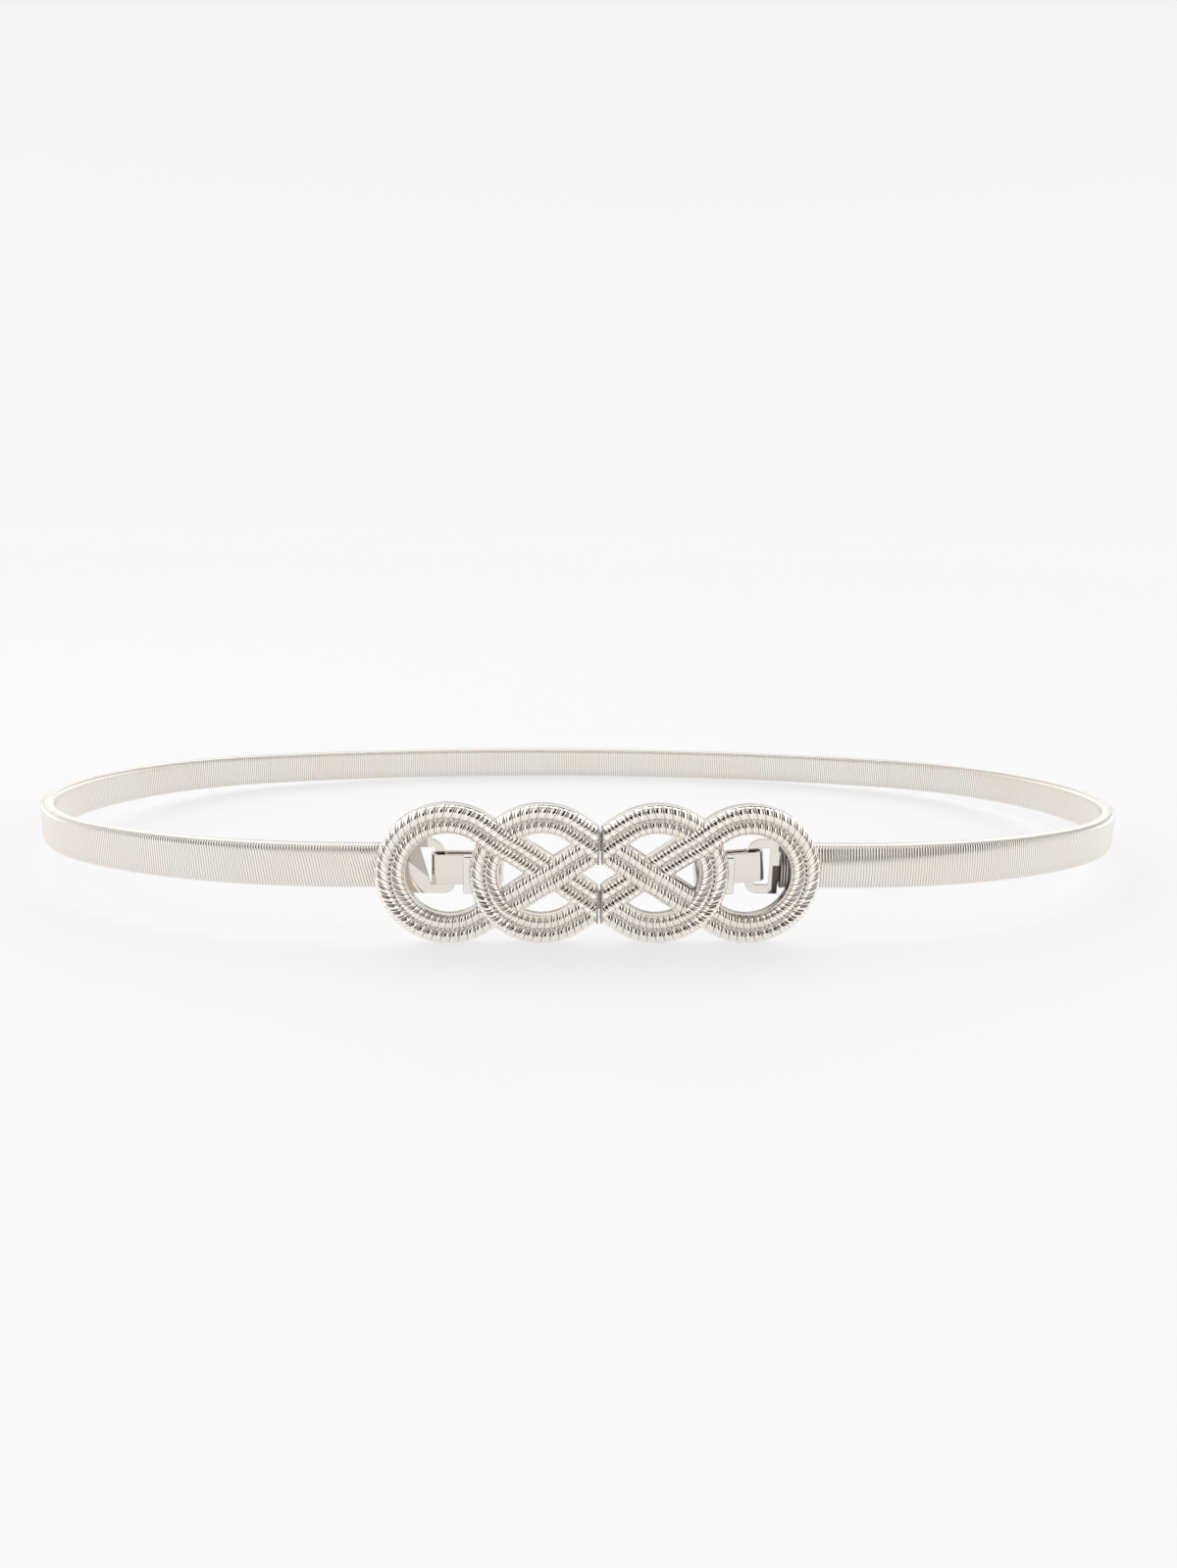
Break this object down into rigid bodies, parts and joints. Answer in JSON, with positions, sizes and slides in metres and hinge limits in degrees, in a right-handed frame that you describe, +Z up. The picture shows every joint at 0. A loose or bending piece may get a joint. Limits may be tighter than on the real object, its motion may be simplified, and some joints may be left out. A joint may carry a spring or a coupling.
{
  "type": "metal waist belt",
  "caption": "Silver-toned metal waist belt lying closed: a flat hollow spring band joined by end plates and strip links to a cast open knot buckle in mirrored halves.",
  "frame": {"origin": "on the floor, in the middle of the belt's overall box", "axes": "+X along the buckle's face, to the right as seen from in front of it; +Y from the buckle's face to the back of the band; +Z up"},
  "size_m": [0.2984, 0.167, 0.032],
  "materials": {
    "band_wire": "bright plated spring wire, fine ribs across the band",
    "plate_sheet": "smooth bright plated sheet",
    "link_strip": "smooth bright plated strip",
    "buckle_casting": "bright plated casting with rope relief",
    "clasp_sheet": "plain bright plated sheet"
  },
  "bodies": {
    "root": {"spring_band": "band_wire", "end_plate_left": "plate_sheet", "link_left": "link_strip", "buckle_half_left": "buckle_casting", "end_plate_right": "plate_sheet", "link_right": "link_strip", "buckle_half_right": "buckle_casting", "clasp_hook": "clasp_sheet"}
  },
  "joints": []
}
